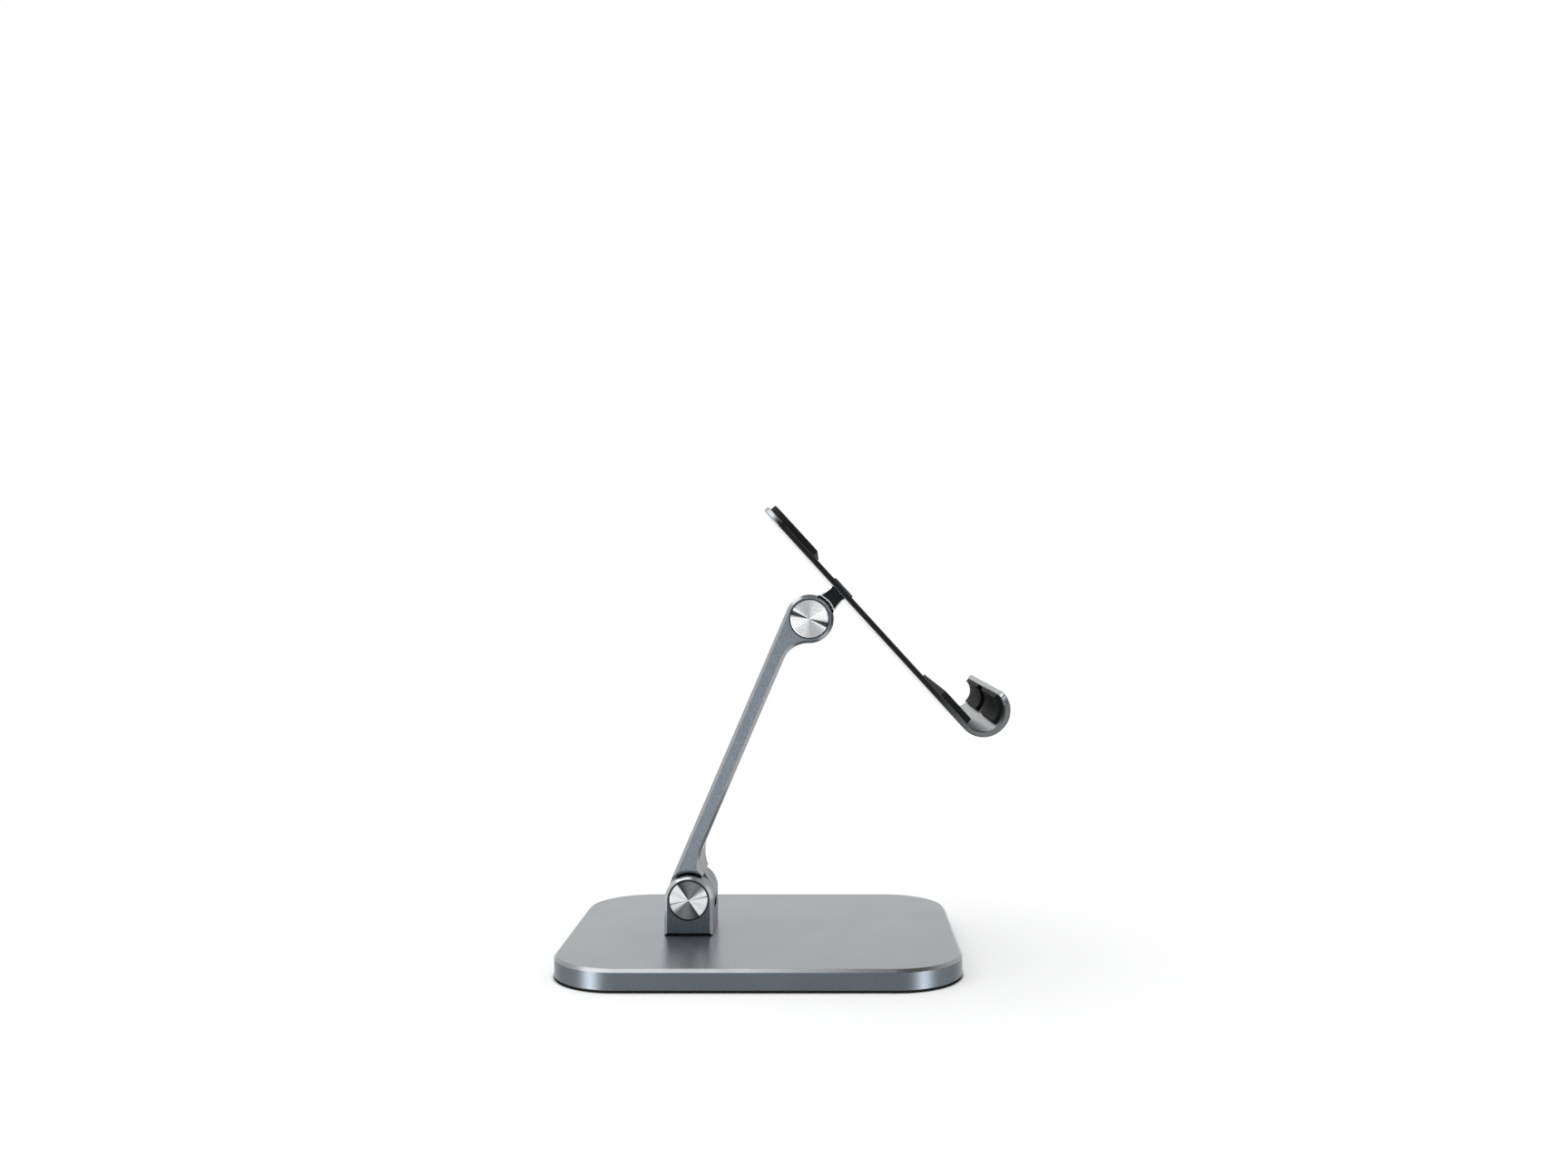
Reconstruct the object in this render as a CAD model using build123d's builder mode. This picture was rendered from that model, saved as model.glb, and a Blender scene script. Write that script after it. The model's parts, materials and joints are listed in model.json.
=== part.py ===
"""Folding tablet stand: weighted base, friction-hinged arm and J-shaped tray.

Frame: origin at the centre of the base's underside, on the table.
+X points to the user, +Y to the user's right hand, +Z up.  Millimetres.
"""

import os
from math import cos, radians, sin

from build123d import *

os.makedirs("parts", exist_ok=True)

# ---- driving dimensions ----------------------------------------------------

# base
BASE_LENGTH = 160.0          # along X
BASE_WIDTH = 130.0           # along Y
BASE_CORNER = 27.0           # plan corner radius
BASE_HEIGHT = 8.8            # table to top face, foot pad included
BASE_CHAMFER = 1.2
PAD_SHOWING = 1.0            # foot pad visible under the shell
PAD_SEAT = 0.5               # depth that the foot pad is let into the shell
PAD_INSET = 1.2              # foot pad edge behind the shell's side

# counterweight under the shell
WEIGHT_RIM = 6.0             # shell wall outside the counterweight pocket
WEIGHT_THICK = 3.0
WEIGHT_GAP = 0.1             # air between counterweight and foot pad
WEIGHT_SLIP = 0.3            # sideways clearance in the pocket
WEIGHT_SCREW_X = 120.0       # screw spacing
WEIGHT_SCREW_Y = 90.0
BOSS_LENGTH = 30.0           # solid block left in the shell under the base bracket
BOSS_WIDTH = 40.0
BOSS_CORNER = 4.0
WEIGHT_TAP_DEPTH = 3.4

# hinges, all widths along Y
LOWER_AXIS_X = -30.0
LOWER_AXIS_Z = 23.3
ARM_LENGTH = 126.0           # between the two hinge axes
ARM_LEAN = 23.25             # degrees from vertical towards the user
HINGE_WIDTH = 29.0
HINGE_RADIUS = 10.0          # ears and knuckles
KNUCKLE_WIDTH = 9.0
WASHER_THICK = 0.5
SWING_GAP = 1.3              # air between an ear and the hollow that clears it
EDGE_CHAMFER = 1.2

# arm bar
BAR_THICK = 6.8
UPPER_BLEND = 11.0           # bar's front face into the upper hinge circle
LOWER_BLEND = 15.5

# base bracket's screws
BRACKET_SCREW_SPACING = 18.0
BRACKET_TAP_DEPTH = 5.6

# hinge hardware
BOLT_RADIUS = 3.0
BOLT_PROUD = 0.3             # thread standing out of the nut
BOLT_CHAMFER = 0.4
HOLE_SLIP = 0.05             # radial clearance of every running fit
LOOSE_SLIP = 0.1             # the same for springs and washers on the bolt
THREAD_SLIP = 0.02           # the same for the nut
HEAD_RADIUS = 5.5
HEAD_THICK = 3.0
HEAD_FILLET = 0.6
SOCKET_FLATS = 4.0
SOCKET_DEPTH = 1.8
BUSH_RADIUS = 4.0
NUT_FLATS = 10.0
NUT_THICK = 3.2
SPRING_RADIUS = 6.0
SPRING_THICK = 0.6
SPRING_CONE = 0.3            # height that the cone adds
SPRING_GAP = 0.02
WASHER_RADIUS = 9.5

# end caps and the bores that hold them
SEAT_RADIUS = 7.9
MOUTH_RADIUS = 8.4
MOUTH_DEPTH = 0.9
CAP_RADIUS = 7.85
CAP_SUNK = 0.2               # cap face below the ear's face
CAP_DISC = 1.2
CAP_SKIRT = 1.1              # skirt wall
CAP_EDGE = 0.25
LEFT_BORE = 5.0              # depth on the bolt-head side
RIGHT_BORE = 7.0             # depth on the nut side

# tray, measured from the upper hinge axis
TRAY_TILT = 42.45            # degrees that the tray's face looks above horizontal
TRAY_WIDTH = 116.0
PLATE_THICK = 2.2
PLATE_BACK = 15.95           # axis to the back of the plate
PLATE_TOP = 43.0             # axis to the plate's top end
SHELF_DOWN = 80.0            # axis to the underside of the shelf
LIP_OUT = 20.4               # plate back to lip outside
LIP_TIP = 69.5               # axis to the lip's end face
BEND_RADIUS = 10.0           # outside of both bends
TOP_CORNER = 11.0
LIP_CORNER = 5.5
PLATE_EDGE = 0.35
NECK_AT_EAR = 11.2           # neck width where it leaves the hinge
NECK_WAIST = 7.9
NECK_AT_PLATE = 7.8
NECK_GAP = 0.35              # air between the ears and the hollow in the neck
NECK_CHAMFER = 0.55
NECK_START = 7.0             # inside the knuckle, so that neck and knuckle join
NECK_MIDDLE = 13.0           # axis to the waist

# tray pads and screw cover
PAD_THICK = 2.4
TOP_PAD_LENGTH = 24.5
TOP_PAD_DROP = 1.5           # pad edge below the plate's top end
LOWER_PAD_START = 55.0       # axis to the lower pad's upper edge
LOWER_PAD_LENGTH = 14.8
PAD_MARGIN = 1.8             # pad edge inside the plate's side
LIP_PAD_THICK = 1.6
LIP_PAD_FROM = 8.0           # from the middle of the tray
LIP_PAD_TO = 51.0
LIP_PAD_FOOT = 0.3           # how far it runs along the shelf
LIP_PAD_SHORT = 0.3          # pad edge below the lip's end face
PAD_CORNER = 2.0
RUBBER_EDGE = 0.3            # chamfer round every pad
COVER_LENGTH = 10.7          # along the tray's slope
COVER_WIDTH = 30.0
COVER_THICK = 1.25
TRAY_SCREW_SPACING = 18.0
TRAY_TAP_DEPTH = 4.2

# screws: radius of thread, radius of head
M4 = (2.0, 3.9)
M3 = (1.5, 2.9)
WEIGHT_SCREW_LENGTH = 6.0
BRACKET_SCREW_LENGTH = 12.2
TRAY_SCREW_LENGTH = 6.0
SCREW_SINK = 0.3             # head below the face it is driven into
SHANK_SLIP = 0.2             # radial clearance of a through hole
HEAD_SLIP = 0.4              # countersink's mouth wider than the head
DRIVE_DEPTH = 1.2            # conical recess in the head
DRIVE_SHARE = 0.3            # its mouth as a share of the head's radius
SCREW_TIP = 0.4              # chamfer at the thread's end

# ---- derived places --------------------------------------------------------

HALF_HINGE = HINGE_WIDTH / 2
HALF_KNUCKLE = KNUCKLE_WIDTH / 2
EAR_INSIDE = HALF_KNUCKLE + WASHER_THICK
EAR_WIDTH = HALF_HINGE - EAR_INSIDE
HOLE_RADIUS = BOLT_RADIUS + HOLE_SLIP

LOWER_AXIS = (LOWER_AXIS_X, LOWER_AXIS_Z)
UPPER_AXIS = (
    LOWER_AXIS_X + ARM_LENGTH * sin(radians(ARM_LEAN)),
    LOWER_AXIS_Z + ARM_LENGTH * cos(radians(ARM_LEAN)),
)

# side planes: local x and y span the object's side view, the normal is -Y
SIDE = Plane.XZ
ARM_SIDE = Plane(
    origin=(LOWER_AXIS[0], 0, LOWER_AXIS[1]),
    x_dir=(cos(radians(ARM_LEAN)), 0, -sin(radians(ARM_LEAN))),
    z_dir=(0, -1, 0),
)
# in this one local x runs down the tray to the lip and local y out of its face
TRAY_SIDE = Plane(
    origin=(UPPER_AXIS[0], 0, UPPER_AXIS[1]),
    x_dir=(sin(radians(TRAY_TILT)), 0, -cos(radians(TRAY_TILT))),
    z_dir=(0, -1, 0),
)
PLATE_FRONT = PLATE_BACK + PLATE_THICK

SHELL_BOTTOM = PAD_SHOWING
SEAT_LEVEL = PAD_SHOWING + PAD_SEAT
POCKET_ROOF = SEAT_LEVEL + WEIGHT_GAP + WEIGHT_THICK


def save(piece, label):
    """Name a finished piece and write it to its own file."""
    piece.part.label = label
    export_step(piece.part, f"parts/{label}.step")


def across(axis, y):
    """Plane square to a hinge axis at the width y, facing +Y."""
    return Plane(origin=(axis[0], y, axis[1]), x_dir=(1, 0, 0), z_dir=(0, 1, 0))


def tray_face(distance):
    """Plane parallel to the tray, at a distance from the hinge; local x runs to the lip."""
    return Plane(
        origin=TRAY_SIDE.origin + TRAY_SIDE.y_dir * distance,
        x_dir=TRAY_SIDE.x_dir,
        z_dir=TRAY_SIDE.y_dir,
    )


def base_outline(inset):
    """Rounded plan outline of the base, moved inwards by an inset."""
    return RectangleRounded(
        BASE_LENGTH - 2 * inset, BASE_WIDTH - 2 * inset, BASE_CORNER - inset
    )


# ---- base ------------------------------------------------------------------


def leave_boss(gap):
    """Take the boss under the base bracket, grown by a gap, out of a plan outline."""
    with Locations((LOWER_AXIS_X, 0)):
        RectangleRounded(
            BOSS_LENGTH + 2 * gap, BOSS_WIDTH + 2 * gap, BOSS_CORNER + gap, mode=Mode.SUBTRACT
        )


BRACKET_SCREWS = [(LOWER_AXIS_X, side * BRACKET_SCREW_SPACING / 2) for side in (-1, 1)]

with BuildPart() as base_shell:
    with BuildSketch(Plane.XY.offset(SHELL_BOTTOM)):
        base_outline(0)
    extrude(amount=BASE_HEIGHT - SHELL_BOTTOM)
    chamfer(base_shell.faces().sort_by(Axis.Z)[-1].edges(), BASE_CHAMFER)
    # seat of the foot pad
    with BuildSketch(Plane.XY.offset(SHELL_BOTTOM)):
        base_outline(PAD_INSET)
    extrude(amount=PAD_SEAT, mode=Mode.SUBTRACT)
    # pocket of the counterweight, round the boss
    with BuildSketch(Plane.XY.offset(SEAT_LEVEL)):
        base_outline(WEIGHT_RIM)
        leave_boss(0)
    extrude(amount=POCKET_ROOF - SEAT_LEVEL, mode=Mode.SUBTRACT)
    # tapped holes of the counterweight
    with BuildSketch(Plane.XY.offset(POCKET_ROOF)):
        with GridLocations(WEIGHT_SCREW_X, WEIGHT_SCREW_Y, 2, 2):
            Circle(M3[0] + HOLE_SLIP)
    extrude(amount=WEIGHT_TAP_DEPTH, mode=Mode.SUBTRACT)
    # countersunk holes of the base bracket, from below
    with Locations(Plane.XY.offset(SEAT_LEVEL).rotated((180, 0, 0))):
        with Locations(*[(x, -y) for x, y in BRACKET_SCREWS]):
            CounterSinkHole(M4[0] + SHANK_SLIP, M4[1] + HEAD_SLIP, depth=BASE_HEIGHT)

with BuildPart() as counterweight_plate:
    with BuildSketch(Plane.XY.offset(SEAT_LEVEL + WEIGHT_GAP)):
        base_outline(WEIGHT_RIM + WEIGHT_SLIP)
        leave_boss(WEIGHT_SLIP)
    extrude(amount=WEIGHT_THICK)
    with Locations(Plane.XY.offset(SEAT_LEVEL + WEIGHT_GAP).rotated((180, 0, 0))):
        with GridLocations(WEIGHT_SCREW_X, WEIGHT_SCREW_Y, 2, 2):
            CounterSinkHole(M3[0] + SHANK_SLIP, M3[1] + HEAD_SLIP, depth=WEIGHT_THICK)

with BuildPart() as foot_pad:
    with BuildSketch():
        base_outline(PAD_INSET)
    extrude(amount=SEAT_LEVEL)
    chamfer(foot_pad.faces().sort_by(Axis.Z)[0].edges(), RUBBER_EDGE)


def screws(plane, places, size, length):
    """Countersunk screws driven along a plane's normal, heads sunk below the plane."""
    thread, head = size
    with BuildPart() as group:
        for x, y in places:
            centre = plane.from_local_coords((x, y, 0))
            turn = Plane(origin=centre, x_dir=plane.x_dir, z_dir=-plane.y_dir)
            with BuildSketch(turn):
                with BuildLine():
                    Polyline(
                        (0, SCREW_SINK + DRIVE_DEPTH),
                        (head * DRIVE_SHARE, SCREW_SINK),
                        (head, SCREW_SINK),
                        (thread, SCREW_SINK + head - thread),
                        (thread, length - SCREW_TIP),
                        (thread - SCREW_TIP, length),
                        (0, length),
                        close=True,
                    )
                make_face()
            revolve(axis=Axis(centre, plane.z_dir))
    return group


UP_FROM_SEAT = Plane.XY.offset(SEAT_LEVEL)
UP_FROM_WEIGHT = Plane.XY.offset(SEAT_LEVEL + WEIGHT_GAP)

weight_corners = [
    (x * WEIGHT_SCREW_X / 2, y * WEIGHT_SCREW_Y / 2) for x in (-1, 1) for y in (-1, 1)
]
counterweight_screws = screws(UP_FROM_WEIGHT, weight_corners, M3, WEIGHT_SCREW_LENGTH)
base_bracket_screws = screws(UP_FROM_SEAT, BRACKET_SCREWS, M4, BRACKET_SCREW_LENGTH)

# ---- hinge cutting tools, used on both pairs of ears -------------------------


def cut_round(axis, radius, start, end):
    """Cut a round hole about a hinge axis between two widths."""
    with BuildSketch(across(axis, start)) as disc:
        Circle(radius)
    extrude(disc.sketch, amount=end - start, mode=Mode.SUBTRACT)


def bore_ears(axis):
    """Cut the bolt's hole and the cap bores into the two ears on a hinge axis."""
    cut_round(axis, HOLE_RADIUS, -HALF_HINGE, HALF_HINGE)
    for side, depth in ((-1, LEFT_BORE), (1, RIGHT_BORE)):
        outside = side * HALF_HINGE
        cut_round(axis, SEAT_RADIUS, outside, outside - side * depth)
        cut_round(axis, MOUTH_RADIUS, outside, outside - side * MOUTH_DEPTH)


def bore_knuckle(axis):
    """Cut the bush's hole through the knuckle on a hinge axis."""
    cut_round(axis, BUSH_RADIUS, -HALF_KNUCKLE, HALF_KNUCKLE)


def hollow_sides(axis, gap=SWING_GAP):
    """Clear the other piece's ears from both sides of a knuckle."""
    for side in (-1, 1):
        cut_round(axis, HINGE_RADIUS + gap, side * HALF_KNUCKLE, side * HALF_HINGE)


def hollow_middle(axis):
    """Clear the other piece's knuckle from between two ears."""
    cut_round(axis, HINGE_RADIUS + SWING_GAP, -EAR_INSIDE, EAR_INSIDE)


def chamfer_sides(piece, size=EDGE_CHAMFER):
    """Chamfer the outlines of the two faces at the hinge's full width."""
    for face in (piece.faces().sort_by(Axis.Y)[0], piece.faces().sort_by(Axis.Y)[-1]):
        chamfer(face.outer_wire().edges(), size)


# ---- base bracket ----------------------------------------------------------

with BuildPart() as base_bracket:
    with BuildSketch(SIDE):
        with Locations(LOWER_AXIS):
            Circle(HINGE_RADIUS)
        with Locations((LOWER_AXIS_X, (BASE_HEIGHT + LOWER_AXIS_Z) / 2)):
            Rectangle(2 * HINGE_RADIUS, LOWER_AXIS_Z - BASE_HEIGHT)
    extrude(amount=HALF_HINGE, both=True)
    hollow_middle(LOWER_AXIS)
    chamfer_sides(base_bracket)
    bore_ears(LOWER_AXIS)
    with BuildSketch(Plane.XY.offset(BASE_HEIGHT)):
        with Locations(*BRACKET_SCREWS):
            Circle(M4[0] + HOLE_SLIP)
    extrude(amount=BRACKET_TAP_DEPTH, mode=Mode.SUBTRACT)

# ---- arm -------------------------------------------------------------------

BAR_BACK = -HINGE_RADIUS
BAR_FRONT = BAR_BACK + BAR_THICK


def blend(radius):
    """Hollow arc between the bar's front face and a hinge circle.

    Returns how far up the bar it starts and the point where it meets the
    circle, both measured from the circle's centre.
    """
    across_bar = BAR_FRONT + radius
    reach = HINGE_RADIUS + radius
    along_bar = (reach**2 - across_bar**2) ** 0.5
    share = HINGE_RADIUS / reach
    return along_bar, (across_bar * share, along_bar * share)


low_start, low_touch = blend(LOWER_BLEND)
high_start, high_touch = blend(UPPER_BLEND)
high_meet = (high_touch[0], ARM_LENGTH - high_touch[1])

with BuildPart() as arm:
    with BuildSketch(ARM_SIDE):
        with BuildLine():
            Line((BAR_BACK, 0), (BAR_BACK, ARM_LENGTH))
            ThreePointArc((BAR_BACK, ARM_LENGTH), (0, ARM_LENGTH + HINGE_RADIUS), high_meet)
            TangentArc((BAR_FRONT, ARM_LENGTH - high_start), high_meet, tangent=(0, 1))
            Line((BAR_FRONT, ARM_LENGTH - high_start), (BAR_FRONT, low_start))
            TangentArc((BAR_FRONT, low_start), low_touch, tangent=(0, -1))
            ThreePointArc(low_touch, (0, -HINGE_RADIUS), (BAR_BACK, 0))
        make_face()
    extrude(amount=HALF_HINGE, both=True)
    hollow_sides(LOWER_AXIS)
    hollow_middle(UPPER_AXIS)
    chamfer_sides(arm)
    bore_knuckle(LOWER_AXIS)
    bore_ears(UPPER_AXIS)

# ---- hinge hardware, the same in both hinges --------------------------------


def turned(axis, outline):
    """Ring or pin turned about a hinge axis from (radius, y) outline points."""
    with BuildPart() as piece:
        with BuildSketch(Plane(origin=(axis[0], 0, axis[1]), z_dir=(0, 0, 1))):
            with BuildLine():
                Polyline(*outline, close=True)
            make_face()
        revolve(axis=Axis((axis[0], 0, axis[1]), (0, 1, 0)))
    return piece


def ring(axis, inner, outer, start, end):
    """Plain ring between two widths."""
    return turned(axis, [(inner, start), (outer, start), (outer, end), (inner, end)])


def group(*pieces):
    """Several separate solids in one node."""
    with BuildPart() as together:
        for piece in pieces:
            add(piece.part)
    return together


def cap(axis, side, depth):
    """Cup-shaped end cap standing on the floor of its bore."""
    face = HALF_HINGE - CAP_SUNK
    floor = HALF_HINGE - depth
    inner = CAP_RADIUS - CAP_SKIRT
    outline = [
        (0, face),
        (CAP_RADIUS - CAP_EDGE, face),
        (CAP_RADIUS, face - CAP_EDGE),
        (CAP_RADIUS, floor),
        (inner, floor),
        (inner, face - CAP_DISC),
        (0, face - CAP_DISC),
    ]
    return turned(axis, [(radius, side * y) for radius, y in outline])


HEAD_SEAT = -HALF_HINGE + LEFT_BORE
NUT_SIDE_SEAT = HALF_HINGE - RIGHT_BORE
SPRING_HEIGHT = SPRING_THICK + SPRING_CONE
NUT_START = NUT_SIDE_SEAT + 2 * SPRING_HEIGHT + SPRING_GAP
BOLT_END = NUT_START + NUT_THICK + BOLT_PROUD


def bolt(axis):
    """Hinge bolt with a hexagon socket in its head."""
    with BuildPart() as piece:
        with BuildSketch(across(axis, HEAD_SEAT)):
            Circle(BOLT_RADIUS)
        extrude(amount=BOLT_END - HEAD_SEAT)
        chamfer(piece.faces().sort_by(Axis.Y)[-1].edges(), BOLT_CHAMFER)
        with BuildSketch(across(axis, HEAD_SEAT)):
            Circle(HEAD_RADIUS)
        extrude(amount=-HEAD_THICK)
        fillet(piece.faces().sort_by(Axis.Y)[0].edges(), HEAD_FILLET)
        with BuildSketch(across(axis, HEAD_SEAT - HEAD_THICK)):
            RegularPolygon(SOCKET_FLATS / 2, 6, major_radius=False)
        extrude(amount=SOCKET_DEPTH, mode=Mode.SUBTRACT)
    return piece


def nut(axis):
    """Thin hexagon nut that loads the disc springs."""
    with BuildPart() as piece:
        with BuildSketch(across(axis, NUT_START)):
            RegularPolygon(NUT_FLATS / 2, 6, major_radius=False)
            Circle(BOLT_RADIUS + THREAD_SLIP, mode=Mode.SUBTRACT)
        extrude(amount=NUT_THICK)
    return piece


def disc_springs(axis):
    """Two conical springs, inner rims together."""
    inner = BOLT_RADIUS + LOOSE_SLIP
    middle = NUT_SIDE_SEAT + SPRING_HEIGHT + SPRING_GAP / 2
    low = [
        (SPRING_RADIUS, -SPRING_HEIGHT),
        (SPRING_RADIUS, -SPRING_CONE),
        (inner, 0),
        (inner, -SPRING_THICK),
    ]
    near = [(radius, middle - SPRING_GAP / 2 + y) for radius, y in low]
    far = [(radius, middle + SPRING_GAP / 2 - y) for radius, y in low]
    return group(turned(axis, near), turned(axis, far))


for name, axis in (("lower", LOWER_AXIS), ("upper", UPPER_AXIS)):
    save(bolt(axis), f"{name}_hinge_bolt")
    save(nut(axis), f"{name}_hinge_nut")
    save(disc_springs(axis), f"{name}_disc_springs")
    save(ring(axis, HOLE_RADIUS, BUSH_RADIUS, -HALF_KNUCKLE, HALF_KNUCKLE), f"{name}_hinge_bush")
    washers = group(
        ring(axis, BOLT_RADIUS + LOOSE_SLIP, WASHER_RADIUS, -EAR_INSIDE, -HALF_KNUCKLE),
        ring(axis, BOLT_RADIUS + LOOSE_SLIP, WASHER_RADIUS, HALF_KNUCKLE, EAR_INSIDE),
    )
    save(washers, f"{name}_friction_washers")
    save(cap(axis, -1, LEFT_BORE), f"{name}_cap_left")
    save(cap(axis, 1, RIGHT_BORE), f"{name}_cap_right")

# ---- tray bracket ----------------------------------------------------------

TRAY_SCREWS = [(0, -TRAY_SCREW_SPACING / 2), (0, TRAY_SCREW_SPACING / 2)]

with BuildPart() as tray_bracket:
    with BuildSketch(TRAY_SIDE):
        with BuildLine():
            ear, waist, foot = NECK_AT_EAR / 2, NECK_WAIST / 2, NECK_AT_PLATE / 2
            Line((-ear, NECK_START), (ear, NECK_START))
            ThreePointArc((ear, NECK_START), (waist, NECK_MIDDLE), (foot, PLATE_BACK))
            Line((foot, PLATE_BACK), (-foot, PLATE_BACK))
            ThreePointArc((-foot, PLATE_BACK), (-waist, NECK_MIDDLE), (-ear, NECK_START))
        make_face()
    extrude(amount=HALF_HINGE, both=True)
    hollow_sides(UPPER_AXIS, NECK_GAP)
    with BuildSketch(across(UPPER_AXIS, -HALF_KNUCKLE)):
        Circle(HINGE_RADIUS)
    extrude(amount=KNUCKLE_WIDTH)
    chamfer_sides(tray_bracket, NECK_CHAMFER)
    bore_knuckle(UPPER_AXIS)
    with BuildSketch(tray_face(PLATE_BACK)):
        with Locations(*TRAY_SCREWS):
            Circle(M3[0] + HOLE_SLIP)
    extrude(amount=-TRAY_TAP_DEPTH, mode=Mode.SUBTRACT)

# ---- tray ------------------------------------------------------------------

LIP_OUTSIDE = PLATE_BACK + LIP_OUT
INNER_BEND = BEND_RADIUS - PLATE_THICK
BEND_START = SHELF_DOWN - BEND_RADIUS


def bend_middle(centre, radius, side):
    """Point halfway round a bend, towards the shelf and towards plate (-1) or lip (+1)."""
    reach = radius * cos(radians(45))
    return (centre[0] + reach, centre[1] + side * reach)


plate_bend = (BEND_START, PLATE_BACK + BEND_RADIUS)
lip_bend = (BEND_START, LIP_OUTSIDE - BEND_RADIUS)
shelf_inside = SHELF_DOWN - PLATE_THICK
SHORT_EDGE = 1.5 * PLATE_THICK
MIDDLE_BAND = 1.0            # edges centred this near the tray's middle run across it


def is_outline(edge):
    """True for the sharp edges round the plate, not for seams between its own faces."""
    middle = TRAY_SIDE.to_local_coords(edge.center())
    through = edge.geom_type == GeomType.LINE and edge.length < SHORT_EDGE
    bend_line = abs(middle.Z) < MIDDLE_BAND and middle.X > (LIP_TIP + BEND_START) / 2
    return not through and not bend_line


with BuildPart() as tray_plate:
    with BuildSketch(TRAY_SIDE):
        with BuildLine():
            # outside, from the top end round both bends to the lip's end face
            Line((-PLATE_TOP, PLATE_BACK), (BEND_START, PLATE_BACK))
            ThreePointArc(
                (BEND_START, PLATE_BACK),
                bend_middle(plate_bend, BEND_RADIUS, -1),
                (SHELF_DOWN, plate_bend[1]),
            )
            Line((SHELF_DOWN, plate_bend[1]), (SHELF_DOWN, lip_bend[1]))
            ThreePointArc(
                (SHELF_DOWN, lip_bend[1]),
                bend_middle(lip_bend, BEND_RADIUS, 1),
                (BEND_START, LIP_OUTSIDE),
            )
            Line((BEND_START, LIP_OUTSIDE), (LIP_TIP, LIP_OUTSIDE))
            Line((LIP_TIP, LIP_OUTSIDE), (LIP_TIP, LIP_OUTSIDE - PLATE_THICK))
            # inside, back to the top end
            Line((LIP_TIP, LIP_OUTSIDE - PLATE_THICK), (BEND_START, LIP_OUTSIDE - PLATE_THICK))
            ThreePointArc(
                (BEND_START, LIP_OUTSIDE - PLATE_THICK),
                bend_middle(lip_bend, INNER_BEND, 1),
                (shelf_inside, lip_bend[1]),
            )
            Line((shelf_inside, lip_bend[1]), (shelf_inside, plate_bend[1]))
            ThreePointArc(
                (shelf_inside, plate_bend[1]),
                bend_middle(plate_bend, INNER_BEND, -1),
                (BEND_START, PLATE_FRONT),
            )
            Line((BEND_START, PLATE_FRONT), (-PLATE_TOP, PLATE_FRONT))
            Line((-PLATE_TOP, PLATE_FRONT), (-PLATE_TOP, PLATE_BACK))
        make_face()
    extrude(amount=TRAY_WIDTH / 2, both=True)
    down_tray = Axis(TRAY_SIDE.origin, TRAY_SIDE.x_dir)
    out_of_tray = Axis(TRAY_SIDE.origin, TRAY_SIDE.y_dir)
    through_plate = (
        tray_plate.edges()
        .filter_by(out_of_tray)
        .filter_by(lambda edge: abs(edge.length - PLATE_THICK) < 0.01)
        .sort_by(down_tray)
    )
    fillet(through_plate[:2], TOP_CORNER)
    fillet(through_plate[-2:], LIP_CORNER)
    chamfer(tray_plate.edges().filter_by(is_outline), PLATE_EDGE)
    with Locations(tray_face(PLATE_FRONT)):
        with Locations(*TRAY_SCREWS):
            CounterSinkHole(M3[0] + SHANK_SLIP, M3[1] + HEAD_SLIP, depth=PLATE_THICK)

tray_bracket_screws = screws(
    Plane(origin=tray_face(PLATE_FRONT).origin, x_dir=TRAY_SIDE.x_dir, z_dir=-TRAY_SIDE.y_dir),
    TRAY_SCREWS,
    M3,
    TRAY_SCREW_LENGTH,
)

# ---- tray pads and screw cover ----------------------------------------------

PAD_HALF_WIDTH = TRAY_WIDTH / 2 - PAD_MARGIN


def flat_pad(start, length, half_width, thick, upper_corner=PAD_CORNER):
    """Pad glued on the plate's face, from a start down the tray's slope."""
    with BuildPart() as pad:
        with BuildSketch(tray_face(PLATE_FRONT)) as outline:
            with Locations((start + length / 2, 0)):
                Rectangle(length, 2 * half_width)
            fillet(outline.vertices().group_by(Axis.X)[0], upper_corner)
            fillet(outline.vertices().group_by(Axis.X)[-1], PAD_CORNER)
        extrude(amount=thick)
        chamfer(pad.faces().sort_by(out_of_tray)[-1].edges(), RUBBER_EDGE)
    return pad


top_pad = flat_pad(
    TOP_PAD_DROP - PLATE_TOP, TOP_PAD_LENGTH, PAD_HALF_WIDTH, PAD_THICK, TOP_CORNER - PAD_MARGIN
)
lower_pad = flat_pad(LOWER_PAD_START, LOWER_PAD_LENGTH, PAD_HALF_WIDTH, PAD_THICK)
screw_cover = flat_pad(-COVER_LENGTH / 2, COVER_LENGTH, COVER_WIDTH / 2, COVER_THICK)


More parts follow.
